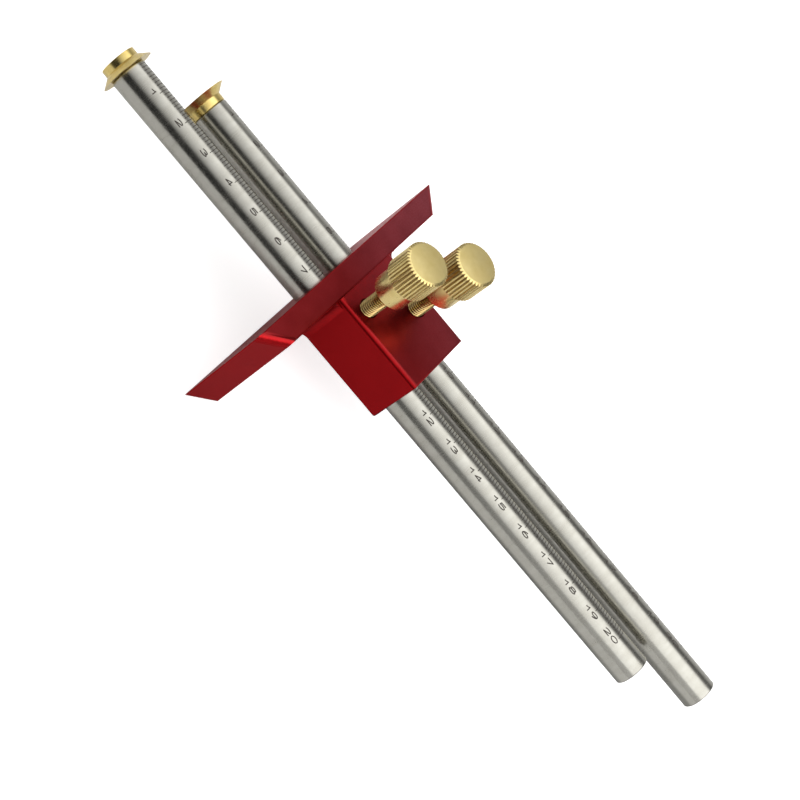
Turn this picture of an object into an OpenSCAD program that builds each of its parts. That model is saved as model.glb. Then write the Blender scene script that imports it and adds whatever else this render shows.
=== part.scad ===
// Double-rod wheel marking gauge.
// The rods lie along X with the cutting wheels at the -X end. The fence's working face is the plane x = 0.
// The origin lies on that face, midway between the rods, level with their axes. Thumbscrews point up, +Z.
// The front rod is the one at -Y.

/* [Fence] */
// Length of the fence along its working face
fence_w = 88.5; // [70:0.5:120]
// Height of the fence
fence_h = 38; // [34:1:60]
// Thickness of the fence
fence_t = 7; // [5:0.5:10]
// How much shorter the back of the fence is than its working face, at each end
fence_slant = 7; // [0:0.5:10]
// Height of the fence's top edge above the rod axes
fence_top = 12.8; // [12:0.1:16]

/* [Block] */
// Width of the block that holds the rods
block_w = 26; // [25:0.5:34]
// Height of the block
block_h = 19.5; // [18:0.5:24]
// Length of the block behind the fence
block_l = 30.5; // [26:0.5:50]
// Step from the fence's top edge down to the block's top face
top_step = 0.6; // [0.2:0.1:1]
// Radius of the inner corners between block and fence
corner_r = 3; // [0.5:0.5:4]

/* [Rods] */
// Rod diameter
rod_d = 10.4; // [9:0.1:10.4]
// Rod length
rod_len = 210.5; // [150:0.5:300]
// Distance between the rod axes
rod_pitch = 14; // [13.6:0.1:14]
// Distance from the working face to the front wheel's cutting plane
front_reach = 73.9; // [65:0.1:100]
// Distance from the working face to the rear wheel's cutting plane
rear_reach = 57.4; // [10:0.1:60]
// Chamfer on both ends of a rod
rod_chamfer = 0.3; // [0.1:0.1:1]
// Radial clearance of a rod in its bore
rod_clear = 0.05; // [0.02:0.01:0.1]

/* [Cutting wheels] */
// Diameter of a wheel over its cutting edge
wheel_d = 15.8; // [13.5:0.1:16]
// Diameter of a wheel's hub
hub_d = 10.4; // [8:0.1:10.4]
// Thickness of a wheel from its flat face to the end of its hub
wheel_t = 4.1; // [3.5:0.1:5]
// Length of the bevel between cutting edge and hub
bevel_l = 1.85; // [1:0.05:2]
// Width of the land behind the cutting edge
edge_land = 0.15; // [0.1:0.05:0.3]

/* [Wheel screws] */
// Diameter of the screw that holds a wheel
wscrew_d = 3; // [2.5:0.5:3]
// Diameter of its countersunk head
wscrew_head_d = 5.6; // [5:0.1:6]
// Length of its thread inside the rod
wscrew_grip = 8; // [5:0.5:12]
// Width across flats of its hex socket
wscrew_hex = 2; // [1.5:0.5:2]
// Radial clearance of a wheel on its screw
wheel_clear = 0.05; // [0.02:0.01:0.1]

/* [Thumbscrews] */
// Thread diameter
thumb_d = 5; // [4:0.5:5]
// Length of thread in sight above the block
thumb_gap = 10; // [5:0.5:12]
// Diameter of the smooth collar
collar_d = 10.4; // [7:0.1:11]
// Height of the collar
collar_h = 7; // [4:0.5:10]
// Diameter of the knurled head
head_d = 12.8; // [11:0.1:13.5]
// Height of the knurled head
head_h = 9.5; // [6:0.5:12]
// Chamfer on the head's top edge
head_chamfer = 0.5; // [0.3:0.1:1]
// Distance of the front thumbscrew behind the working face
front_thumb_x = 13.7; // [13.5:0.1:16]
// Distance of the rear thumbscrew behind the working face
rear_thumb_x = 22.4; // [22:0.1:26]

/* [Clamp pads] */
// Diameter of the pad under a thumbscrew
pad_d = 4; // [3.5:0.1:4]
// Thickness of the pad
pad_t = 1.6; // [1.5:0.1:2]
// Diameter of the thumbscrew's nose that the pad turns on
nose_d = 2.4; // [1.8:0.1:2.4]
// Length of that nose
nose_l = 1.1; // [0.8:0.1:1.1]

/* [Hidden] */
$fn = 96;
eps = 0.02;         // overlap that joins touching solids, and makes cuts come out clean
seat_gap = 0.05;    // axial gap at a face that turns on another
pad_gap = 0.1;      // clearance between a pad and its rod
hex_depth = 1;      // depth of a wheel screw's hex socket
nose_clear = 0.05;  // radial clearance of a pad on its nose
head_round = 6;     // segments across flats: a hexagon

front_y = -rod_pitch / 2;
rear_y = rod_pitch / 2;
rod_r = rod_d / 2;
bore_r = rod_r + rod_clear;
fence_bottom = fence_top - fence_h;
block_top = fence_top - top_step;
block_bottom = block_top - block_h;
block_back = fence_t + block_l;
thumb_hole_r = thumb_d / 2 + rod_clear;
pad_bottom = rod_r + pad_gap;
pad_top = pad_bottom + pad_t;

front_rod_x = -front_reach;
rear_rod_x = wheel_t + seat_gap - rear_reach;

// Children stand on the X axis: their +Z becomes +X, from the point [x, y, 0]
module to_plus_x(x, y) {
    translate([x, y, 0]) rotate([0, 90, 0]) children();
}

// The same towards -X
module to_minus_x(x, y) {
    translate([x, y, 0]) rotate([0, -90, 0]) children();
}

// Fence: working face at x = 0, both ends cut back towards the rear
module fence_outline() {
    front_half = fence_w / 2;
    back_half = fence_w / 2 - fence_slant;
    polygon([[0, -front_half], [fence_t, -back_half], [fence_t, back_half], [0, front_half]]);
}

// Block, with a concave fillet on each side where it meets the fence
module block_outline() {
    translate([fence_t - eps, -block_w / 2]) square([block_l + eps, block_w]);
    for (side = [-1, 1]) {
        scale([1, side]) difference() {
            translate([fence_t - eps, block_w / 2 - eps]) square(corner_r + eps);
            translate([fence_t + corner_r, block_w / 2 + corner_r]) circle(corner_r);
        }
    }
}

// Fence and block are one piece of aluminium, bored for the rods and tapped for the thumbscrews
module fence_body() {
    color("firebrick") difference() {
        union() {
            translate([0, 0, fence_bottom]) linear_extrude(fence_h) fence_outline();
            translate([0, 0, block_bottom]) linear_extrude(block_h) block_outline();
        }
        for (y = [front_y, rear_y]) {
            to_plus_x(-1, y) cylinder(r = bore_r, h = block_back + 2);
        }
        for (at = [[front_thumb_x, front_y], [rear_thumb_x, rear_y]]) {
            translate([at[0], at[1], 0]) cylinder(r = thumb_hole_r, h = block_top + 1);
        }
    }
}

// Rod from z = 0 at its wheel end, with the tapped hole for the wheel's screw
module rod() {
    tap_r = wscrew_d / 2 + eps;
    tap_depth = wscrew_grip + 1;
    color("silver") rotate_extrude() polygon([
        [tap_r, 0], [rod_r - rod_chamfer, 0], [rod_r, rod_chamfer],
        [rod_r, rod_len - rod_chamfer], [rod_r - rod_chamfer, rod_len],
        [0, rod_len], [0, tap_depth], [tap_r, tap_depth]
    ]);
}

// Wheel from z = 0 at its flat face to its hub's end. The countersink is in the face named by sink_at_flat.
module wheel(sink_at_flat) {
    hole_r = wscrew_d / 2 + wheel_clear;
    sink_r = wscrew_head_d / 2 + wheel_clear + seat_gap;
    sink_depth = sink_r - hole_r;
    color("gold") difference() {
        rotate_extrude() polygon([
            [0, 0], [wheel_d / 2, 0], [wheel_d / 2, edge_land],
            [hub_d / 2, edge_land + bevel_l], [hub_d / 2, wheel_t], [0, wheel_t]
        ]);
        translate([0, 0, -1]) cylinder(r = hole_r, h = wheel_t + 2);
        translate([0, 0, sink_at_flat ? 0 : wheel_t]) mirror([0, 0, sink_at_flat ? 0 : 1])
            rotate_extrude() polygon([[0, -1], [sink_r, -1], [sink_r, 0], [hole_r, sink_depth], [0, sink_depth]]);
    }
}

// Countersunk screw from z = 0 at the outside of its head, pointing up through a wheel into its rod
module wheel_screw() {
    head_r = wscrew_head_d / 2;
    shank_r = wscrew_d / 2;
    hex_r = wscrew_hex / 2 / cos(30);
    color("dimgray") difference() {
        rotate_extrude() polygon([
            [0, 0], [head_r, 0], [shank_r, head_r - shank_r],
            [shank_r, wheel_t + wscrew_grip], [0, wheel_t + wscrew_grip]
        ]);
        translate([0, 0, -1]) cylinder(r = hex_r, h = hex_depth + 1, $fn = head_round);
    }
}

// Brass thumbscrew turned from one bar: nose, thread, collar and head
module thumbscrew(x, y) {
    collar_z = block_top + thumb_gap;
    head_z = collar_z + collar_h;
    top_z = head_z + head_h;
    color("goldenrod") translate([x, y, 0]) rotate_extrude() polygon([
        [0, pad_top - nose_l], [nose_d / 2, pad_top - nose_l], [nose_d / 2, pad_top + seat_gap],
        [thumb_d / 2, pad_top + seat_gap], [thumb_d / 2, collar_z], [collar_d / 2, collar_z],
        [collar_d / 2, head_z], [head_d / 2, head_z], [head_d / 2, top_z - head_chamfer],
        [head_d / 2 - head_chamfer, top_z], [0, top_z]
    ]);
}

// Pad that the nose of a thumbscrew turns in, so that the rod's scale isn't scored
module clamp_pad(x, y) {
    socket_r = nose_d / 2 + nose_clear;
    socket_floor = pad_top - nose_l - seat_gap;
    color("burlywood") translate([x, y, 0]) rotate_extrude() polygon([
        [0, pad_bottom], [pad_d / 2, pad_bottom], [pad_d / 2, pad_top],
        [socket_r, pad_top], [socket_r, socket_floor], [0, socket_floor]
    ]);
}

module front_rod() to_plus_x(front_rod_x, front_y) rod();
module rear_rod() to_plus_x(rear_rod_x, rear_y) rod();
module front_wheel() to_minus_x(front_rod_x - seat_gap, front_y) wheel(sink_at_flat = false);
module rear_wheel() to_plus_x(-rear_reach, rear_y) wheel(sink_at_flat = true);
module front_wheel_screw() to_plus_x(front_rod_x - seat_gap - wheel_t, front_y) wheel_screw();
module rear_wheel_screw() to_plus_x(-rear_reach, rear_y) wheel_screw();
module front_thumbscrew() thumbscrew(front_thumb_x, front_y);
module rear_thumbscrew() thumbscrew(rear_thumb_x, rear_y);
module front_clamp_pad() clamp_pad(front_thumb_x, front_y);
module rear_clamp_pad() clamp_pad(rear_thumb_x, rear_y);

fence_body();
front_rod();
rear_rod();
front_wheel();
rear_wheel();
front_wheel_screw();
rear_wheel_screw();
front_thumbscrew();
rear_thumbscrew();
front_clamp_pad();
rear_clamp_pad();
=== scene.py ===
import math

import bmesh
import bpy
from mathutils import Matrix, Vector


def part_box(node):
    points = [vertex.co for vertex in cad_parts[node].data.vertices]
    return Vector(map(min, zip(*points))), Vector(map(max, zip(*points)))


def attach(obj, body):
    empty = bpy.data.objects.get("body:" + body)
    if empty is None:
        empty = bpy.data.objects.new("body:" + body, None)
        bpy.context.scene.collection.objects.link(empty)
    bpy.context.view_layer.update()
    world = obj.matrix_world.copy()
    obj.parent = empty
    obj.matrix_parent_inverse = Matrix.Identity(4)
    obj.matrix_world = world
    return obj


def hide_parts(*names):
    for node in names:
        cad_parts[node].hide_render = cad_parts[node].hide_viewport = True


# Looks of a double-rod wheel marking gauge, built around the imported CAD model.
# +X runs along the rods, away from the wheels. +Z is up, where the thumbscrews stand.
# The front rod is at -Y.
# Sizes below are in millimetres, and MM turns them into metres. Places come from the CAD nodes' boxes.
MM = 0.001
TINY = 1e-9
STRAIGHT = 1e-4            # a corner this close to straight, in radians, isn't rounded
WELD = 1e-8                # vertices this near each other, in metres, become one
SHARP_DEG = 35.0           # edges between faces that turn by more than this stay sharp

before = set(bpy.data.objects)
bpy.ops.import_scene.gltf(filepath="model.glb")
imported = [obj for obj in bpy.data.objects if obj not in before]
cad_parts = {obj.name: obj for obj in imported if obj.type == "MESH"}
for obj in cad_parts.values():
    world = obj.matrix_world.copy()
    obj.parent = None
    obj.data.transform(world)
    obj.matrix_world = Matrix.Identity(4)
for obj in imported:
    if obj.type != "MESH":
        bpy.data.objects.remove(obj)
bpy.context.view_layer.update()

# ---------------------------------------------------------------- sizes

# Fence and block
FENCE_T = 7.0
FENCE_SLANT = 7.0
FENCE_TIP_R = 0.2          # vertical corners at the ends of the working face
FENCE_BACK_R = 0.7         # vertical corners at the ends of the fence's back
FENCE_EDGE_R = 0.5         # top and bottom edges
FENCE_END_R = 2.6          # top and bottom edges of the slanting ends
BLOCK_W = 26.0
BLOCK_H = 19.5
TOP_STEP = 0.6
INNER_R = 3.0              # concave corners between block and fence
BLOCK_CORNER_R = 0.65
BLOCK_EDGE_R = 0.65
BLOCK_SIDE_R = 1.5         # the two long edges of the block's top
BORE_R = 5.25
BORE_CHAMFER = 0.2
THUMB_HOLE_R = 2.55
THUMB_HOLE_CHAMFER = 0.35
JOIN = 0.01                # how far the block's side lines start inside the fence
SINK_IN = 2.0              # how far the block itself reaches into the fence
PAST = 2.0                 # how far tools that cut or round an edge reach past it
SHARP_R = 0.02             # radius of a corner that stays sharp
EDGE_STEPS = 6             # facets across a rounded edge
ARC_STEPS = 10             # facets across a vertical corner
ROUNDING_STEPS = 12        # facets across the wider roundings
PROFILE_STEPS = 4          # facets across a fillet of a turned shape
HOLE_COLUMNS = 128

# Rods
ROD_R = 5.2
ROD_CHAMFER = 0.3
ROD_EDGE_R = 0.10
TAP_R = 1.52
TAP_DEPTH = 9.0
TAP_CONE, TAP_MOUTH = 0.8, 0.25    # drilled cone at its bottom, chamfer at its mouth
ROD_COLUMNS = 256

# Wheels and their screws
WHEEL_R = 7.9
WHEEL_T = 4.1
HUB_R = 5.2
RIM_LAND = 0.03            # the cutting edge's own width
BEVEL_L = 1.97
WHEEL_HOLE_R = 1.55
SINK_R = 2.9               # countersink
HUB_EDGE_R = 0.12
SCREW_R = 1.5
SCREW_HEAD_R = 2.8
SCREW_HEAD_L = 1.35        # from the top of the head to the end of its cone
SCREW_L = 12.1
SCREW_COLUMNS = 96
SCREW_EDGE, SCREW_TIP = 0.08, 0.3  # chamfers at the head's rim and at the tip
HEX_FLATS = 2.0
HEX_DEPTH, HEX_CONE = 1.0, 0.4
HEX_MOUTH = 0.12           # chamfer at the socket's mouth
WHEEL_COLUMNS = 192

# Thumbscrews
THREAD_R = 2.48
THREAD_ROOT_R = 1.98
THREAD_PITCH = 0.8
THREAD_ROWS = 12           # rows of faces for each turn
THREAD_SLOPE, THREAD_FLAT = 1.3, 0.1   # steepness of the flanks, and how flat the root is
THREAD_CREST_SHADE = 0.50         # painted shade on the thread's crests, from 0 to 1
THREAD_GAP = 10.0          # thread in sight above the block
NOSE_R = 1.2
NOSE_L = 1.15
NOSE_CHAMFER = 0.1
COLLAR_R = 5.2
COLLAR_H = 7.0
COLLAR_EDGE_R = 0.3
HEAD_R = 6.4
HEAD_TOP_CHAMFER = (0.85, 0.45)   # across, and down
HEAD_LOW_CHAMFER = 0.25
HEAD_TOP_EDGE = (0.04, 0.06, 0.02)  # rounding between that chamfer and the top: out, in, and down
KNURL_RIDGES = 40
KNURL_DEPTH = 0.36
ON_SURFACE = 0.05          # a vertex this near a surface counts as lying on it
# Points of one ridge: share of the pitch, and share of the depth
KNURL_SHAPE = ((0.0, 0.0), (0.36, 0.0), (0.54, 0.82), (0.68, 1.0), (0.82, 0.82))

# Scales
MARK_LIFT = 0.010          # the marks stand this proud of the rod
MARK_SINK = 0.030          # and reach this deep
MARK_FACET = 0.18          # longest straight stretch of a mark
TICK_W = 0.19
TICK_FOOT = 137.0          # degrees round the rod, from -Y towards +Z
TICK_MM, TICK_HALF, TICK_CM = 89.0, 86.5, 78.5   # where ticks for 1, 5 and 10 mm end
DIGIT_FOOT = 59.0          # where the numbers stand
DIGIT_W, DIGIT_H = 2.3, 1.15
DIGIT_GAP = 0.65
ONE_W, ONE_GAP = 1.2, 1.25
STROKE_W = 0.30
LABEL_SHIFT = -2.2         # start of a label beside its tick
LAST_LABEL_SHIFTS = {19: -3.0, 20: -4.9}   # the same for the two numbers at the end
REAR_TEENS_SHIFT = -1.2    # the rear rod's numbers from 10 on stand this much nearer its wheel
REAR_TURN = 31.0           # the rear rod's marks are turned this much further
SCALE_CM = 20

# ---------------------------------------------------------------- mesh helpers


def corner_arc(before, corner, after, radius, steps):
    """Points of the arc that rounds one corner of an outline or profile."""
    a = (Vector(before) - Vector(corner)).normalized()
    b = (Vector(after) - Vector(corner)).normalized()
    half = a.angle(b) / 2
    if radius < TINY or half > math.pi / 2 - STRAIGHT:
        return [Vector(corner)] * (steps + 1)
    centre = Vector(corner) + (a + b).normalized() * radius / math.sin(half)
    start = Vector(corner) + a * radius / math.tan(half) - centre
    end = Vector(corner) + b * radius / math.tan(half) - centre
    sweep = start.angle(end)
    points = []
    for k in range(steps + 1):
        from_start, from_end = math.sin(sweep * (1 - k / steps)), math.sin(sweep * k / steps)
        points.append(centre + (start * from_start + end * from_end) / math.sin(sweep))
    return points


def rounded_profile(points, closed=False):
    """A profile of (radius, height, fillet) points, rounded where they have a fillet."""
    out = []
    count = len(points)
    for i, (r, z, fillet) in enumerate(points):
        at_end = not closed and i in (0, count - 1)
        if fillet < TINY or at_end:
            out.append((r, z))
            continue
        after = points[(i + 1) % count][:2]
        fillet_points = corner_arc(points[i - 1][:2], (r, z), after, fillet, PROFILE_STEPS)
        out.extend((p.x, p.y) for p in fillet_points)
    return out


def bridge(low, high):
    """Faces between two rings of vertex numbers, either of which may be a single pole."""
    n = max(len(low), len(high))
    faces = []
    for i in range(n):
        j = (i + 1) % n
        face = [low[i % len(low)], low[j % len(low)], high[j % len(high)], high[i % len(high)]]
        faces.append(list(dict.fromkeys(face)))
    return faces


def turned(rows, angles, closed=False):
    """Vertices and faces of rows turned about Z.

    A row is one (radius, height), or a list with one for each angle."""
    verts, faces, rings = [], [], []
    for row in rows:
        row = row if isinstance(row, list) else [row] * len(angles)
        if max(r for r, z in row) < TINY:
            rings.append([len(verts)])
            verts.append((0, 0, row[0][1]))
            continue
        rings.append(list(range(len(verts), len(verts) + len(angles))))
        verts.extend((r * math.cos(t), r * math.sin(t), z) for (r, z), t in zip(row, angles))
    pairs = list(zip(rings, rings[1:])) + ([(rings[-1], rings[0])] if closed else [])
    for low, high in pairs:
        faces.extend(bridge(low, high))
    return verts, faces


def even_angles(count):
    return [math.tau * i / count for i in range(count)]


def build(name, verts, faces, matrix=None, sharp_deg=SHARP_DEG):
    """A mesh object from millimetre vertices, with outward normals, smooth but for its sharp edges."""
    mesh = bpy.data.meshes.new(name)
    mesh.from_pydata([Vector(v) * MM for v in verts], [], faces)
    bm = bmesh.new()
    bm.from_mesh(mesh)
    bmesh.ops.remove_doubles(bm, verts=bm.verts, dist=WELD)
    bmesh.ops.recalc_face_normals(bm, faces=bm.faces)
    bm.to_mesh(mesh)
    bm.free()
    if matrix is not None:
        mesh.transform(matrix)
    shade(mesh, sharp_deg)
    piece = bpy.data.objects.new(name, mesh)
    bpy.context.scene.collection.objects.link(piece)
    return piece


def shade(mesh, sharp_deg):
    mesh.polygons.foreach_set("use_smooth", [True] * len(mesh.polygons))
    mesh.set_sharp_from_angle(angle=math.radians(sharp_deg))


def combined(base, operation, *tools):
    """base with the tools added or cut away, as plain mesh. The tools are removed."""
    for tool in tools:
        step = base.modifiers.new(operation.lower(), "BOOLEAN")
        step.operation, step.solver, step.object = operation, "EXACT", tool
    bake_modifiers(base)
    for tool in tools:
        bpy.data.objects.remove(tool)
    return base


def bake_modifiers(piece):
    depsgraph = bpy.context.evaluated_depsgraph_get()
    mesh = bpy.data.meshes.new_from_object(piece.evaluated_get(depsgraph), depsgraph=depsgraph)
    piece.modifiers.clear()
    piece.data = mesh
    mesh.name = piece.name


def even_normals(piece):
    """Keeps flat faces flat beside rounded edges."""
    shade(piece.data, SHARP_DEG)
    step = piece.modifiers.new("even_normals", "WEIGHTED_NORMAL")
    step.mode, step.weight, step.keep_sharp = "FACE_AREA", 100, True
    bake_modifiers(piece)


# Directions in which the flat sides of fence and block look
FLAT_DIRECTIONS = (
    (1, 0, 0), (-1, 0, 0), (0, 1, 0), (0, -1, 0), (0, 0, 1), (0, 0, -1), (1, 1, 0), (1, -1, 0),
)
EDGE_ANGLE = 40.0          # degrees away from the nearest of them at which a surface counts fully as edge


def mark_edges(piece):
    """Stores how far each vertex is from lying on a flat side, 0 to 1, as the attribute edge."""
    mesh = piece.data
    flat = [Vector(v).normalized() for v in FLAT_DIRECTIONS]
    full = 1.0 - math.cos(math.radians(EDGE_ANGLE))
    edge = mesh.attributes.new("edge", "FLOAT", "POINT")
    for v in mesh.vertices:
        nearest = max(v.normal.dot(d) for d in flat)
        edge.data[v.index].value = min(1.0, (1.0 - nearest) / full)


def along_x(x, y, sign=1):
    """Puts a turned shape's +Z along +X or -X, from the point (x, y, 0) in metres."""
    return Matrix.Translation((x, y, 0)) @ Matrix.Rotation(math.radians(90 * sign), 4, "Y")


# ---------------------------------------------------------------- fence and block


def inset_corners(corners, inset):
    """The corners of an outline whose sides are all moved inwards."""
    out = []
    count = len(corners)
    for i, (x, y, radius) in enumerate(corners):
        here = Vector((x, y))
        into = (here - Vector(corners[i - 1][:2])).normalized()
        away = (Vector(corners[(i + 1) % count][:2]) - here).normalized()
        n1, n2 = Vector((into.y, -into.x)), Vector((away.y, -away.x))
        moved = here - (n1 + n2) / (1 + n1.dot(n2)) * inset
        convex = into.x * away.y - into.y * away.x > 0
        out.append((moved.x, moved.y, max(SHARP_R, radius - inset) if convex else radius + inset))
    return out


def outline_points(corners):
    points = []
    for i, (x, y, radius) in enumerate(corners):
        after = corners[(i + 1) % len(corners)][:2]
        points.extend(corner_arc(corners[i - 1][:2], (x, y), after, radius, ARC_STEPS))
    return points


def rounded_prism(name, corners, low, high, radius):
    """An upright prism of the outline, with its top and bottom edges rounded."""
    turn = [math.pi / 2 * k / EDGE_STEPS for k in range(EDGE_STEPS + 1)]
    levels = [(radius * (1 - math.sin(t)), low + radius * (1 - math.cos(t))) for t in turn]
    levels += [(radius * (1 - math.cos(t)), high - radius * (1 - math.sin(t))) for t in turn]
    verts, rings = [], []
    for inset, z in levels:
        ring = outline_points(inset_corners(corners, inset))
        rings.append(list(range(len(verts), len(verts) + len(ring))))
        verts.extend((p.x, p.y, z) for p in ring)
    faces = [rings[0][::-1], rings[-1]]
    for a, b in zip(rings, rings[1:]):
        faces.extend(bridge(a, b))
    return build(name, verts, faces)


def hole_cutter(name, radius, chamfer, length, matrix, both_ends):
    """A round cutter from z = 0 to length, opened out where it leaves the surface."""
    out = 1.0
    wide = radius + chamfer + out
    start = [(0.0, -out), (wide, -out), (radius, chamfer)] if both_ends else [(0.0, 0.0), (radius, 0.0)]
    rows = start + [(radius, length - chamfer), (wide, length + out), (0.0, length + out)]
    return build(name, *turned(rows, even_angles(HOLE_COLUMNS)), matrix=matrix)


def edge_cutter(name, start, end, outward, rise, radius):
    """A tool that rounds the straight edge from start to end of a face that looks outward.

    rise is 1 for the face's top edge and -1 for its bottom edge."""
    turn = [math.pi / 2 * k / ROUNDING_STEPS for k in range(ROUNDING_STEPS + 1)]
    section = [(radius * (math.sin(t) - 1), radius * (math.cos(t) - 1)) for t in turn]
    section += [(PAST, -radius), (PAST, PAST), (-radius, PAST)]
    verts = []
    for point in (start, end):
        for out, up in section:
            verts.append(Vector(point) + Vector(outward) * out + Vector((0, 0, up * rise)))
    count = len(section)
    low, high = list(range(count)), list(range(count, 2 * count))
    return build(name, verts, [low[::-1], high] + bridge(low, high))


def round_fence_ends(body, half, bottom, top):
    """Rounds the top and bottom edges of the fence's two slanting ends."""
    lean = Vector((FENCE_SLANT, FENCE_T)).normalized()
    reach = Vector((FENCE_T, FENCE_SLANT)).normalized() * PAST
    cutters = []
    for side, side_name in ((1, "rear"), (-1, "front")):
        for rise, level, level_name in ((1, top, "top"), (-1, bottom, "foot")):
            start = (-reach.x, (half + reach.y) * side, level)
            end = (FENCE_T + reach.x, (half - FENCE_SLANT - reach.y) * side, level)
            name = side_name + "_end_" + level_name + "_tool"
            cutters.append(edge_cutter(name, start, end, (lean.x, lean.y * side, 0), rise, FENCE_END_R))
    combined(body, "DIFFERENCE", *cutters)


def round_block_sides(block, back, level):
    """Rounds the two long edges of the block's top."""
    cutters = []
    for side, side_name in ((1, "rear"), (-1, "front")):
        y = BLOCK_W / 2 * side
        start, end = (0, y, level), (back + PAST, y, level)
        cutters.append(edge_cutter(side_name + "_side_tool", start, end, (0, side, 0), 1, BLOCK_SIDE_R))
    combined(block, "DIFFERENCE", *cutters)


def bore_fence(body, back, block_top):
    """Cuts the bores for the rods and the holes for the thumbscrews."""
    cutters = []
    for side_name in ("front", "rear"):
        rod_low, rod_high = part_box(side_name + "_rod")
        rod_y = (rod_low.y + rod_high.y) / 2
        cutters.append(hole_cutter(
            side_name + "_bore_tool", BORE_R, BORE_CHAMFER, back, along_x(0, rod_y), True))
        screw_low, screw_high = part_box(side_name + "_thumbscrew")
        middle = (screw_low + screw_high) / 2
        upright = Matrix.Translation((middle.x, middle.y, 0))
        cutters.append(hole_cutter(
            side_name + "_tap_tool", THUMB_HOLE_R, THUMB_HOLE_CHAMFER, block_top, upright, False))
    combined(body, "DIFFERENCE", *cutters)


def make_fence():
    low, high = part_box("fence_body")
    half = high.y / MM
    top, bottom, back = high.z / MM, low.z / MM, high.x / MM
    fence_corners = [
        (0, -half, FENCE_TIP_R), (FENCE_T, FENCE_SLANT - half, FENCE_BACK_R),
        (FENCE_T, half - FENCE_SLANT, FENCE_BACK_R), (0, half, FENCE_TIP_R),
    ]
    side, inside, start = BLOCK_W / 2, FENCE_T - SINK_IN, FENCE_T - JOIN
    wing = side + INNER_R
    block_corners = [
        (inside, -wing, SHARP_R), (start, -wing, SHARP_R), (start, -side, INNER_R),
        (back, -side, BLOCK_CORNER_R), (back, side, BLOCK_CORNER_R),
        (start, side, INNER_R), (start, wing, SHARP_R), (inside, wing, SHARP_R),
    ]
    block_top = top - TOP_STEP
    body = rounded_prism("fence_and_block", fence_corners, bottom, top, FENCE_EDGE_R)
    block = rounded_prism("block_tool", block_corners, block_top - BLOCK_H, block_top, BLOCK_EDGE_R)
    round_fence_ends(body, half, bottom, top)
    round_block_sides(block, back, block_top)
    combined(body, "UNION", block)
    bore_fence(body, back, block_top)
    even_normals(body)
    mark_edges(body)
    body.data.materials.clear()
    body.data.materials.append(red_anodised())
    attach(body, "fence")
    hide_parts("fence_body")


# ---------------------------------------------------------------- rods and scales


def make_rod(side):
    low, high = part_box(side + "_rod")
    length = (high.x - low.x) / MM
    edge = ROD_R - ROD_CHAMFER
    rows = rounded_profile([
        (0, TAP_DEPTH, 0), (TAP_R, TAP_DEPTH - TAP_CONE, 0),
        (TAP_R, TAP_MOUTH, 0), (TAP_R + TAP_MOUTH, 0, 0),
        (edge, 0, ROD_EDGE_R), (ROD_R, ROD_CHAMFER, ROD_EDGE_R),
        (ROD_R, length - ROD_CHAMFER, ROD_EDGE_R), (edge, length, ROD_EDGE_R), (0, length, 0),
    ])
    y = (low.y + high.y) / 2
    rod = build(side + "_rod_bar", *turned(rows, even_angles(ROD_COLUMNS)), matrix=along_x(low.x, y))
    rod.data.materials.append(ground_steel())
    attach(rod, side + "_rod")
    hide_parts(side + "_rod")


def arc(cx, cy, rx, ry, start, end, steps=14):
    """Points of an ellipse's arc, angles in degrees, anticlockwise when end is above start."""
    turn = [math.radians(start + (end - start) * k / steps) for k in range(steps + 1)]
    return [(cx + rx * math.cos(t), cy + ry * math.sin(t)) for t in turn]


# Strokes of each digit in a box 1 wide and 1 high
DIGITS = {
    "0": [arc(.5, .5, .5, .5, 90, 450, 28)],
    "1": [[(0, .72), (.55, .78), (1, 1), (1, 0)]],
    "2": [arc(.5, .7, .46, .3, 165, -25) + [(.02, 0), (1, 0)]],
    "3": [arc(.48, .75, .42, .25, 155, -90) + arc(.48, .25, .5, .25, 90, -155)],
    "4": [[(.74, 0), (.74, 1), (0, .3), (1, .3)]],
    "5": [[(.95, 1), (.2, 1), (.12, .56)] + arc(.48, .32, .5, .32, 140, -150)],
    "6": [arc(.5, .3, .48, .3, 0, 360, 24), arc(.72, .3, .7, .7, 180, 95)],
    "7": [[(0, 1), (1, 1), (.38, 0)]],
    "8": [arc(.5, .76, .4, .24, 0, 360, 20), arc(.5, .26, .5, .26, 0, 360, 20)],
    "9": [arc(.5, .7, .48, .3, 0, 360, 24), arc(.28, .7, .7, .7, 0, -85)],
}


def resampled(points):
    """The same line with no stretch longer than MARK_FACET."""
    out = [Vector(points[0])]
    for a, b in zip(points, points[1:]):
        a, b = Vector(a), Vector(b)
        parts = max(1, math.ceil((b - a).length / MARK_FACET))
        out.extend(a.lerp(b, k / parts) for k in range(1, parts + 1))
    return out


def ribbon(points, width):
    """The two sides of a stroke along points, mitred at its corners."""
    pairs = []
    for i, p in enumerate(points):
        into = (p - points[i - 1]).normalized() if i else (points[1] - p).normalized()
        away = (points[i + 1] - p).normalized() if i + 1 < len(points) else into
        n1, n2 = Vector((-into.y, into.x)), Vector((-away.y, away.x))
        miter = (n1 + n2) / max(0.5, 1 + n1.dot(n2)) * width / 2
        pairs.append((p + miter, p - miter))
    return pairs


def add_stroke(verts, faces, pairs, to_rod):
    """A thin solid bar on the rod for one stroke."""
    first = len(verts)
    for left, right in pairs:
        for p, level in ((left, MARK_LIFT), (right, MARK_LIFT), (right, -MARK_SINK), (left, -MARK_SINK)):
            verts.append(to_rod(p, level))
    count = len(pairs)
    for i in range(count - 1):
        a, b = first + 4 * i, first + 4 * (i + 1)
        faces.extend([a + k, a + (k + 1) % 4, b + (k + 1) % 4, b + k] for k in range(4))
    last = first + 4 * (count - 1)
    faces.append([first + 3, first + 2, first + 1, first])
    faces.append([last, last + 1, last + 2, last + 3])


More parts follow.
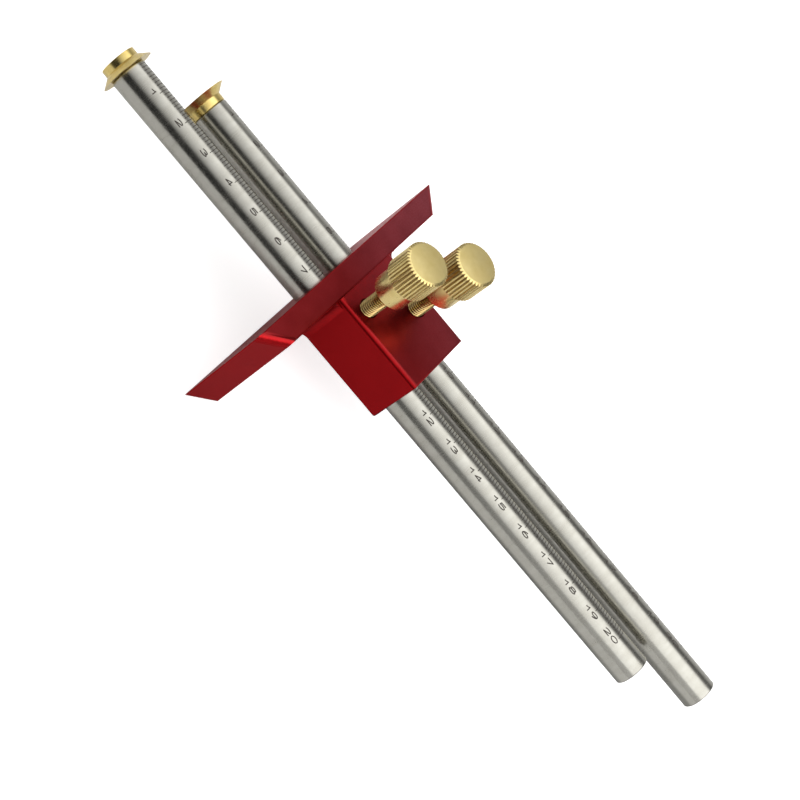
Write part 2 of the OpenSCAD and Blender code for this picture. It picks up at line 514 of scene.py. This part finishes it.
def label_strokes(cm, teens_shift):
    """Strokes of one number, from its tick, in millimetres along and round the rod."""
    x = LAST_LABEL_SHIFTS.get(cm, LABEL_SHIFT) + (teens_shift if cm >= 10 else 0.0)
    strokes = []
    for digit in str(cm):
        wide, gap = (ONE_W, ONE_GAP) if digit == "1" else (DIGIT_W, DIGIT_GAP)
        for line in DIGITS[digit]:
            strokes.append([(x + u * wide, v * DIGIT_H) for u, v in line])
        x += wide + gap
    return strokes


def make_scale(side, zero_x, turn, teens_shift):
    """Ticks and numbers of one rod, counted from zero_x, from the first tick that is on the rod."""
    low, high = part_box(side + "_rod")
    axis_y = (low.y + high.y) / 2 / MM
    zero = zero_x / MM
    first_tick = math.ceil(low.x / MM - zero + TICK_W)

    def round_rod(point, level, foot):
        angle = math.radians(foot + turn) + point[1] / ROD_R
        r = ROD_R + level
        return (zero + point[0], axis_y - r * math.cos(angle), r * math.sin(angle))

    verts, faces = [], []
    for mm in range(first_tick, SCALE_CM * 10 + 1):
        near = TICK_CM if mm % 10 == 0 else TICK_HALF if mm % 5 == 0 else TICK_MM
        length = math.radians(TICK_FOOT - near) * ROD_R
        pairs = ribbon(resampled([(mm, 0), (mm, -length)]), TICK_W)
        add_stroke(verts, faces, pairs, lambda p, level: round_rod(p, level, TICK_FOOT))
    for cm in range(1, SCALE_CM + 1):
        for stroke in label_strokes(cm, teens_shift):
            pairs = ribbon(resampled([(cm * 10 + u, v) for u, v in stroke]), STROKE_W)
            add_stroke(verts, faces, pairs, lambda p, level: round_rod(p, level, DIGIT_FOOT))
    scale = build(side + "_scale_marks", verts, faces)
    scale.data.materials.append(laser_mark())
    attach(scale, side + "_rod")


# ---------------------------------------------------------------- wheels and screws


def make_wheel(side, sink_at_flat, matrix):
    """From z = 0 at the flat face to the hub's end."""
    depth = SINK_R - WHEEL_HOLE_R
    if sink_at_flat:
        flat = [(SINK_R, 0, 0), (WHEEL_HOLE_R, depth, 0)]
        far = [(WHEEL_HOLE_R, WHEEL_T, 0)]
    else:
        flat = [(WHEEL_HOLE_R, 0, 0)]
        far = [(WHEEL_HOLE_R, WHEEL_T - depth, 0), (SINK_R, WHEEL_T, 0)]
    rows = rounded_profile(far + [
        (HUB_R, WHEEL_T, HUB_EDGE_R), (HUB_R, RIM_LAND + BEVEL_L, HUB_EDGE_R),
        (WHEEL_R, RIM_LAND, 0), (WHEEL_R, 0, 0),
    ] + flat, closed=True)
    verts, faces = turned(rows, even_angles(WHEEL_COLUMNS), closed=True)
    wheel = build(side + "_wheel_disc", verts, faces, matrix=matrix, sharp_deg=25)
    wheel.data.materials.append(gold_steel())
    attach(wheel, side + "_wheel")
    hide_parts(side + "_wheel")


def make_wheel_screw(side, matrix):
    """From z = 0 at the outside of the head into the rod."""
    rows = rounded_profile([
        (0, 0, 0), (SCREW_HEAD_R - SCREW_EDGE, 0, 0), (SCREW_HEAD_R, SCREW_EDGE, 0),
        (SCREW_R, SCREW_HEAD_L, 0), (SCREW_R, SCREW_L - SCREW_TIP, 0),
        (SCREW_R - SCREW_TIP, SCREW_L, 0), (0, SCREW_L, 0),
    ])
    screw = build(side + "_wheel_screw_hex", *turned(rows, even_angles(SCREW_COLUMNS)))
    hex_r = HEX_FLATS / 2 / math.cos(math.radians(30))
    out = 1.0
    socket_rows = [
        (0, -out), (hex_r + HEX_MOUTH + out, -out), (hex_r, HEX_MOUTH),
        (hex_r, HEX_DEPTH), (0, HEX_DEPTH + HEX_CONE),
    ]
    socket = build("hex_tool", *turned(socket_rows, even_angles(6)))
    combined(screw, "DIFFERENCE", socket)
    screw.data.transform(matrix)
    shade(screw.data, sharp_deg=30)
    screw.data.materials.clear()
    screw.data.materials.append(black_oxide())
    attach(screw, side + "_rod")
    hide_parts(side + "_wheel_screw")


# ---------------------------------------------------------------- thumbscrews


def knurl_columns():
    """Angles of the columns round the head, and how deep the knurl is at each."""
    angles, depths = [], []
    for ridge in range(KNURL_RIDGES):
        for share, depth in KNURL_SHAPE:
            angles.append(math.tau * (ridge + share) / KNURL_RIDGES)
            depths.append(depth * KNURL_DEPTH)
    return angles, depths


def thread_radius(turns):
    """Radius of the thread's surface at a number of turns above its start."""
    share = abs((turns % 1.0) * 2 - 1)
    height = min(1.0, max(0.0, share * THREAD_SLOPE - THREAD_FLAT))
    return THREAD_ROOT_R + (THREAD_R - THREAD_ROOT_R) * height


def thread_rows(low_z, high_z, angles):
    """Rows of the thread, which fades out within one turn at both ends."""
    steps = round((high_z - low_z) / THREAD_PITCH * THREAD_ROWS)
    rows = []
    for k in range(steps + 1):
        z = low_z + (high_z - low_z) * k / steps
        fade = min(1.0, k / THREAD_ROWS, (steps - k) / THREAD_ROWS)
        row = []
        for t in angles:
            height = thread_radius(z / THREAD_PITCH - t / math.tau) - THREAD_ROOT_R
            row.append((THREAD_ROOT_R + height * fade, z))
        rows.append(row)
    return rows


def head_rows(head_z, top, depths):
    """Rows of the knurled head, from its lower face to the middle of its top."""
    low_r = HEAD_R - KNURL_DEPTH - HEAD_LOW_CHAMFER
    across, down = HEAD_TOP_CHAMFER
    cone = down / across
    edge_out, edge_in, edge_down = HEAD_TOP_EDGE
    rim = HEAD_R - across
    return [
        (low_r, head_z),
        [(HEAD_R - d, head_z + HEAD_R - d - low_r) for d in depths],
        [(HEAD_R - d, top - down + d * cone) for d in depths],
        (rim + edge_out, top - edge_down), (rim - edge_in, top), (0, top),
    ]


def make_thumbscrew(side):
    low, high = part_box(side + "_thumbscrew")
    bottom, top = low.z / MM, high.z / MM
    block_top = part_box("fence_body")[1].z / MM - TOP_STEP
    thread_low, collar_z = bottom + NOSE_L, block_top + THREAD_GAP
    head_z = collar_z + COLLAR_H
    angles, depths = knurl_columns()
    rows = [
        (0, bottom), (NOSE_R - NOSE_CHAMFER, bottom), (NOSE_R, bottom + NOSE_CHAMFER),
        (NOSE_R, thread_low),
    ]
    rows += thread_rows(thread_low, collar_z, angles)
    rows += rounded_profile([
        (THREAD_ROOT_R, collar_z, 0), (COLLAR_R, collar_z, COLLAR_EDGE_R), (COLLAR_R, head_z, 0),
    ])
    rows += head_rows(head_z, top, depths)
    verts, faces = turned(rows, angles)
    middle = (low + high) / 2
    upright = Matrix.Translation((middle.x, middle.y, 0))
    piece = build(side + "_thumbscrew_knurled", verts, faces, matrix=upright, sharp_deg=24)
    store_depth(piece, middle, head_z, collar_z)
    piece.data.materials.append(turned_brass())
    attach(piece, side + "_thumbscrew")
    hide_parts(side + "_thumbscrew")


def store_depth(piece, middle, head_z, collar_z):
    """Stores 1 in the roots of knurl and thread as the attribute groove, which sets painted shade there,
    and 1 on the thread as polish.
    """
    groove = piece.data.attributes.new("groove", "FLOAT", "POINT")
    polish = piece.data.attributes.new("polish", "FLOAT", "POINT")
    knurl_low = head_z + HEAD_LOW_CHAMFER + ON_SURFACE
    knurl_root = HEAD_R - KNURL_DEPTH - ON_SURFACE
    thread_high = collar_z - ON_SURFACE
    for v in piece.data.vertices:
        r = math.hypot(v.co.x - middle.x, v.co.y - middle.y) / MM
        z = v.co.z / MM
        if z > knurl_low:
            depth = (HEAD_R - r) / KNURL_DEPTH if r > knurl_root else 0.0
        elif z < thread_high:
            depth = THREAD_CREST_SHADE + (1 - THREAD_CREST_SHADE) * (THREAD_R - r) / (THREAD_R - THREAD_ROOT_R)
        else:
            depth = 0.0
        groove.data[v.index].value = min(1.0, max(0.0, depth))
        polish.data[v.index].value = 1.0 if z < thread_high else 0.0


# ---------------------------------------------------------------- materials


class Look:
    """A material around one Principled shader, with short calls to add nodes."""

    def __init__(self, name):
        self.material = bpy.data.materials.new(name)
        self.material.use_nodes = True
        self.tree = self.material.node_tree
        self.shader = self.tree.nodes["Principled BSDF"]
        places = self.add("ShaderNodeTexCoord")
        self.coords, self.normals = places.outputs["Object"], places.outputs["Normal"]

    def add(self, kind, inputs=None, **settings):
        node = self.tree.nodes.new(kind)
        for key, value in settings.items():
            setattr(node, key, value)
        for key, value in (inputs or {}).items():
            self.put(node.inputs[key], value)
        return node

    def put(self, socket, value):
        if isinstance(value, bpy.types.NodeSocket):
            self.tree.links.new(value, socket)
        else:
            socket.default_value = value

    def set(self, **values):
        for key, value in values.items():
            self.put(self.shader.inputs[key.replace("_", " ")], value)

    def noise(self, scale, stretch=(1, 1, 1), detail=2.0, rough=0.5):
        """Noise from 0 to 1, scale features to a metre."""
        size = [scale * s for s in stretch]
        where = self.add("ShaderNodeMapping", {"Vector": self.coords, "Scale": size}).outputs["Vector"]
        inputs = {"Vector": where, "Scale": 1.0, "Detail": detail, "Roughness": rough}
        return self.add("ShaderNodeTexNoise", inputs).outputs["Fac"]

    def remap(self, value, low, high, start=0.3, end=0.7):
        """low to high while value goes from start to end."""
        return self.add("ShaderNodeMapRange", {
            "Value": value, "From Min": start, "From Max": end, "To Min": low, "To Max": high,
        }).outputs["Result"]

    def blend(self, amount, a, b):
        """Colour a to colour b while amount goes from 0 to 1."""
        node = self.add("ShaderNodeMix", data_type="RGBA")
        self.put(node.inputs[0], amount)
        self.put(node.inputs[6], (*a, 1) if isinstance(a, tuple) else a)
        self.put(node.inputs[7], (*b, 1) if isinstance(b, tuple) else b)
        return node.outputs[2]

    def blend_value(self, amount, a, b):
        """Value a to value b while amount goes from 0 to 1."""
        return self.add("ShaderNodeMix", {0: amount, 2: a, 3: b}).outputs[0]

    def plus(self, a, b):
        return self.add("ShaderNodeMath", {0: a, 1: b}, operation="ADD").outputs[0]

    def times(self, a, b):
        return self.add("ShaderNodeMath", {0: a, 1: b}, operation="MULTIPLY").outputs[0]

    def bump(self, height, depth):
        """height from 0 to 1 stands for depth in metres."""
        node = self.add("ShaderNodeBump", {"Height": height, "Distance": depth, "Strength": 1.0})
        self.put(self.shader.inputs["Normal"], node.outputs["Normal"])

    def attribute(self, name):
        return self.add("ShaderNodeAttribute", attribute_name=name).outputs["Fac"]

    def part(self, vector, axis):
        """The X, Y or Z component of a vector."""
        return self.add("ShaderNodeSeparateXYZ", {"Vector": vector}).outputs[axis]


PAINTED_LIGHT_Y = (-0.008, 0.036)   # painted light: upward faces are painted paler from here to here, in metres along Y


def red_anodised():
    look = Look("red_anodised")
    cloud = look.noise(130, detail=3)
    grain = look.noise(7000, detail=2, rough=0.6)
    tone = look.remap(cloud, 0, 1)
    upward = look.part(look.normals, "Z")
    rearward = look.remap(look.part(look.coords, "Y"), 0, 1, *PAINTED_LIGHT_Y)
    # Painted light and shade: sides get a darker copy of the red, upward faces a paler, pinker one, paler
    # still towards the rear.
    side = look.blend(tone, (0.270, 0.0029, 0.0047), (0.315, 0.0037, 0.0059))
    front_top = look.blend(tone, (0.240, 0.0155, 0.0175), (0.280, 0.021, 0.024))
    rear_top = look.blend(tone, (0.410, 0.088, 0.108), (0.465, 0.102, 0.126))
    top = look.blend(rearward, front_top, rear_top)
    clean = look.blend(look.remap(upward, 0, 1, 0.75, 0.98), side, top)
    speckled = look.blend(look.remap(grain, 0, 0.5), clean, (0.22, 0.0022, 0.0038))
    # Painted highlight: rounded edges are painted a brighter red, in patches.
    patchy_highlight = look.remap(look.noise(900, detail=3), 0.1, 0.35)
    edge = look.times(look.attribute("edge"), patchy_highlight)
    look.set(
        Base_Color=look.blend(edge, speckled, (0.60, 0.014, 0.017)), Metallic=1.0,
        Specular_Tint=(0.84, 0.58, 0.59, 1),
        Roughness=look.plus(look.remap(cloud, 0.26, 0.31), look.remap(grain, 0, 0.05)),
        Coat_Weight=0.07, Coat_Roughness=0.22, Coat_IOR=1.5)
    look.bump(grain, 2.2e-6)
    return look.material


def ground_steel():
    look = Look("ground_steel")
    rings = look.noise(1, stretch=(9000, 260, 260), detail=3, rough=0.65)
    waves = look.noise(1, stretch=(420, 160, 160), detail=3)
    stain = look.noise(1, stretch=(60, 240, 240), detail=4, rough=0.6)
    clean = look.blend(look.remap(waves, 0, 1), (0.465, 0.455, 0.41), (0.415, 0.403, 0.357))
    stained = look.blend(look.remap(stain, 0, 0.35, 0.5, 0.8), clean, (0.34, 0.33, 0.30))
    look.set(
        Base_Color=stained, Metallic=1.0,
        Roughness=look.plus(look.remap(waves, 0.17, 0.23), look.remap(rings, 0, 0.08)))
    look.bump(rings, 1.6e-6)
    return look.material


def turned_brass():
    look = Look("turned_brass")
    cloud = look.noise(260, detail=4)
    grain = look.noise(6500, detail=3, rough=0.6)
    clean = look.blend(look.remap(cloud, 0, 1), (0.84, 0.69, 0.31), (0.74, 0.59, 0.24))
    groove = look.attribute("groove")
    # Painted shade: the roots of knurl and thread are painted dark brown, and the thread's crests partly
    # so.
    painted_shade = look.times(groove, look.remap(look.noise(1500), 0.75, 1.0))
    lapped = look.remap(look.part(look.normals, "Z"), 0, 0.16, 0.93, 0.99)
    bare = look.remap(look.attribute("polish"), look.remap(cloud, 0.23, 0.31), 0.14, 0, 1)
    look.set(
        Base_Color=look.blend(painted_shade, clean, (0.15, 0.060, 0.012)), Metallic=1.0,
        Roughness=look.plus(look.plus(bare, lapped), look.remap(groove, 0, 0.1, 0, 1)))
    look.bump(grain, 2.5e-6)
    return look.material


def pad_brass():
    look = Look("pad_brass")
    cloud = look.noise(700, detail=3)
    colour = look.blend(look.remap(cloud, 0, 1), (0.66, 0.49, 0.22), (0.50, 0.36, 0.15))
    look.set(
        Base_Color=colour, Metallic=1.0,
        Roughness=look.remap(cloud, 0.35, 0.5))
    look.bump(look.noise(9000, detail=2), 3e-6)
    return look.material


def gold_steel():
    look = Look("gold_steel")
    cloud = look.noise(500, detail=3)
    grain = look.noise(12000, detail=2)
    colour = look.blend(look.remap(cloud, 0, 1), (0.80, 0.63, 0.24), (0.70, 0.53, 0.18))
    look.set(
        Base_Color=colour, Metallic=1.0,
        Roughness=look.plus(look.remap(cloud, 0.19, 0.25), look.remap(grain, 0, 0.05)))
    look.bump(grain, 1.2e-6)
    return look.material


def black_oxide():
    look = Look("black_oxide")
    grain = look.noise(9000, detail=3)
    colour = look.blend(look.remap(grain, 0, 1), (0.045, 0.045, 0.05), (0.09, 0.085, 0.08))
    look.set(
        Base_Color=colour, Metallic=0.9,
        Roughness=look.remap(look.noise(900), 0.33, 0.48))
    look.bump(grain, 2.5e-6)
    return look.material


def laser_mark():
    look = Look("laser_mark")
    burn = look.noise(2600, detail=3)
    colour = look.blend(look.remap(burn, 0, 1), (0.035, 0.030, 0.026), (0.10, 0.085, 0.07))
    look.set(
        Base_Color=colour, Metallic=0.3,
        Roughness=look.remap(burn, 0.5, 0.7))
    look.bump(look.noise(14000, detail=2), 1.5e-6)
    return look.material


# ---------------------------------------------------------------- studio and camera

FLOOR_R = 900.0            # radius of the floor
FLOOR_FADE = 450.0         # where it starts to fade into the background
FLOOR_COLUMNS = 96
FLOOR_GREY, FLOOR_SPECKLE = 0.84, 0.005
FLOOR_LIFT = 0.70          # light added to the floor as the camera sees it, so that it stays nearly white

# Painted shadow: a dark patch of floor under the rods behind the fence stands in for their shadow. The
# camera sees it only in reflections. In metres.
SHADOW_PATCH = 0.55               # how much darker it is, from 0 to 1
SHADOW_PATCH_X = (0.015, 0.05)    # where it starts, and where it is full
SHADOW_PATCH_Y = (0.012, 0.030)   # half its width where it is full, and where it ends

SKY_HIGH, SKY_LOW = 0.30, 0.66     # brightness of the surroundings overhead, and level with the object
SKY_FADE = (0.2, 0.6)      # one turns into the other between these sines of the angle above level
BACKDROP = 1.0             # brightness of the background behind the floor

# Overhead softbox: a card 1 m up, bright at the back and fading towards the front. All in metres.
# The fade, and the step to a dim back margin, run askew: they are measured along y + tilt * x.
BOX_HEIGHT = 1.0
BOX_X = (-1.6, 1.8)
BOX_Y = (-1.7, 1.75)
BOX_LEVEL = 2.0
BOX_FADE_TILT, BOX_FADE = 1.4, (-1.75, 0.5)
BOX_BACK_TILT, BOX_BACK = 0.39, (0.86, 0.55)
BOX_MARGIN = (0.30, 0.14)  # brightness of the margin at its left and right
BOX_MARGIN_X = (0.1, 0.45)                       # where one turns into the other
BOX_RIGHT, BOX_RIGHT_GAIN = (0.62, 0.95), 1.5    # the far right of the card is brighter

# Card in front of the object: black on the wheels' side, light grey on the rods' side
CARD_X, CARD_Y, CARD_Z = (-1.1, 1.5), -1.0, (-0.02, 0.62)
CARD_BLACK, CARD_WHITE = 0.03, 0.80
CARD_FADE = (0.10, 0.56)


def make_floor():
    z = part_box("fence_body")[0].z / MM
    verts, faces = turned([(0, z), (FLOOR_R, z)], even_angles(FLOOR_COLUMNS))
    floor = build("studio_floor", verts, faces)
    look = Look("studio_floor")
    speck = look.noise(300, detail=2)
    grey = look.remap(speck, FLOOR_GREY - FLOOR_SPECKLE, FLOOR_GREY + FLOOR_SPECKLE)
    seen = look.add("ShaderNodeLightPath").outputs["Is Camera Ray"]
    aside = look.add("ShaderNodeMath", {0: look.part(look.coords, "Y")}, operation="ABSOLUTE").outputs[0]
    behind = look.remap(look.part(look.coords, "X"), 0, 1, *SHADOW_PATCH_X)
    under = look.times(behind, look.remap(aside, 1, 0, *SHADOW_PATCH_Y))
    shaded = look.times(under, look.remap(seen, SHADOW_PATCH, 0, 0, 1))
    away = look.add("ShaderNodeVectorMath", {0: look.coords}, operation="LENGTH").outputs["Value"]
    look.set(
        Base_Color=look.blend(shaded, grey, (0.02, 0.02, 0.02)), Roughness=0.9,
        Specular_IOR_Level=0.1, Emission_Color=(1, 1, 1, 1),
        Emission_Strength=look.remap(seen, 0, FLOOR_LIFT, 0, 1),
        Alpha=look.remap(away, 1, 0, FLOOR_FADE * MM, FLOOR_R * MM))
    floor.data.materials.append(look.material)


def make_card(name, corners, glow):
    """A glowing card that the camera doesn't see. glow turns its look into the brightness at each place."""
    mesh = bpy.data.meshes.new(name)
    mesh.from_pydata(corners, [], [(0, 1, 2, 3)])
    card = bpy.data.objects.new(name, mesh)
    bpy.context.scene.collection.objects.link(card)
    look = Look(name)
    look.set(
        Base_Color=(0, 0, 0, 1), Specular_IOR_Level=0.0, Emission_Color=(1, 1, 1, 1),
        Emission_Strength=glow(look))
    mesh.materials.append(look.material)
    card.visible_camera = False


def softbox_glow(look):
    x, y = look.part(look.coords, "X"), look.part(look.coords, "Y")
    along_fade = look.plus(look.times(x, BOX_FADE_TILT), y)
    along_back = look.plus(look.times(x, BOX_BACK_TILT), y)
    fade = look.remap(along_fade, 0, BOX_LEVEL, *BOX_FADE)
    left, right = (level / BOX_LEVEL for level in BOX_MARGIN)
    margin = look.remap(x, left, right, *BOX_MARGIN_X)
    back = look.remap(along_back, margin, 1, *BOX_BACK)
    gain = look.remap(x, 1, BOX_RIGHT_GAIN, *BOX_RIGHT)
    return look.times(look.times(fade, back), look.blend_value(back, 1, gain))


def card_glow(look):
    return look.remap(look.part(look.coords, "X"), CARD_BLACK, CARD_WHITE, *CARD_FADE)


def make_lights():
    (x0, x1), (y0, y1), z = BOX_X, BOX_Y, BOX_HEIGHT
    make_card("overhead_softbox", [(x0, y0, z), (x0, y1, z), (x1, y1, z), (x1, y0, z)], softbox_glow)
    (x0, x1), y, (z0, z1) = CARD_X, CARD_Y, CARD_Z
    make_card("front_card", [(x0, y, z0), (x1, y, z0), (x1, y, z1), (x0, y, z1)], card_glow)


def make_world():
    world = bpy.data.worlds.new("studio")
    bpy.context.scene.world = world
    world.use_nodes = True
    tree = world.node_tree
    background = tree.nodes["Background"]
    upwards = tree.nodes.new("ShaderNodeSeparateXYZ")
    tree.links.new(tree.nodes.new("ShaderNodeTexCoord").outputs["Generated"], upwards.inputs[0])
    sky = tree.nodes.new("ShaderNodeMapRange")
    levels = {"From Min": SKY_FADE[0], "From Max": SKY_FADE[1], "To Min": SKY_LOW, "To Max": SKY_HIGH}
    for socket, value in levels.items():
        sky.inputs[socket].default_value = value
    tree.links.new(upwards.outputs["Z"], sky.inputs["Value"])
    seen = tree.nodes.new("ShaderNodeLightPath").outputs["Is Camera Ray"]
    level = tree.nodes.new("ShaderNodeMapRange")
    level.inputs["To Max"].default_value = BACKDROP
    tree.links.new(seen, level.inputs["Value"])
    tree.links.new(sky.outputs["Result"], level.inputs["To Min"])
    tree.links.new(level.outputs["Result"], background.inputs["Strength"])
    background.inputs["Color"].default_value = (1, 1, 1, 1)


def make_camera():
    place = Vector((-0.014108, -0.354958, 0.358417))
    aim = Vector((0.038331, -0.008152, 0.0))
    roll = math.radians(56.043)
    forward = (aim - place).normalized()
    right = forward.cross(Vector((0, 0, 1))).normalized()
    up = right.cross(forward)
    x_axis = right * math.cos(roll) + up * math.sin(roll)
    y_axis = up * math.cos(roll) - right * math.sin(roll)
    turn = Matrix((x_axis, y_axis, -forward)).transposed().to_4x4()
    data = bpy.data.cameras.new("camera")
    data.lens, data.sensor_width = 84.234, 36.0
    data.clip_start, data.clip_end = 0.01, 20.0
    camera = bpy.data.objects.new("camera", data)
    camera.matrix_world = Matrix.Translation(place) @ turn
    bpy.context.scene.collection.objects.link(camera)
    bpy.context.scene.camera = camera


# ---------------------------------------------------------------- the whole scene

make_camera()
make_world()
make_lights()
make_floor()
bpy.context.scene.view_settings.view_transform = "Standard"

make_fence()
front_wheel_low, front_wheel_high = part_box("front_wheel")
rear_wheel_low, rear_wheel_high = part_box("rear_wheel")
front_y = (front_wheel_low.y + front_wheel_high.y) / 2
rear_y = (rear_wheel_low.y + rear_wheel_high.y) / 2
make_rod("front")
make_rod("rear")
make_scale("front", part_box("front_rod")[0].x, 0.0, 0.0)
make_scale("rear", rear_wheel_low.x, REAR_TURN, REAR_TEENS_SHIFT)
make_wheel("front", False, along_x(front_wheel_high.x, front_y, -1))
make_wheel("rear", True, along_x(rear_wheel_low.x, rear_y))
make_wheel_screw("front", along_x(front_wheel_low.x, front_y))
make_wheel_screw("rear", along_x(rear_wheel_low.x, rear_y))
make_thumbscrew("front")
make_thumbscrew("rear")
for pad in ("front_clamp_pad", "rear_clamp_pad"):
    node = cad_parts[pad]
    node.data.materials.clear()
    node.data.materials.append(pad_brass())
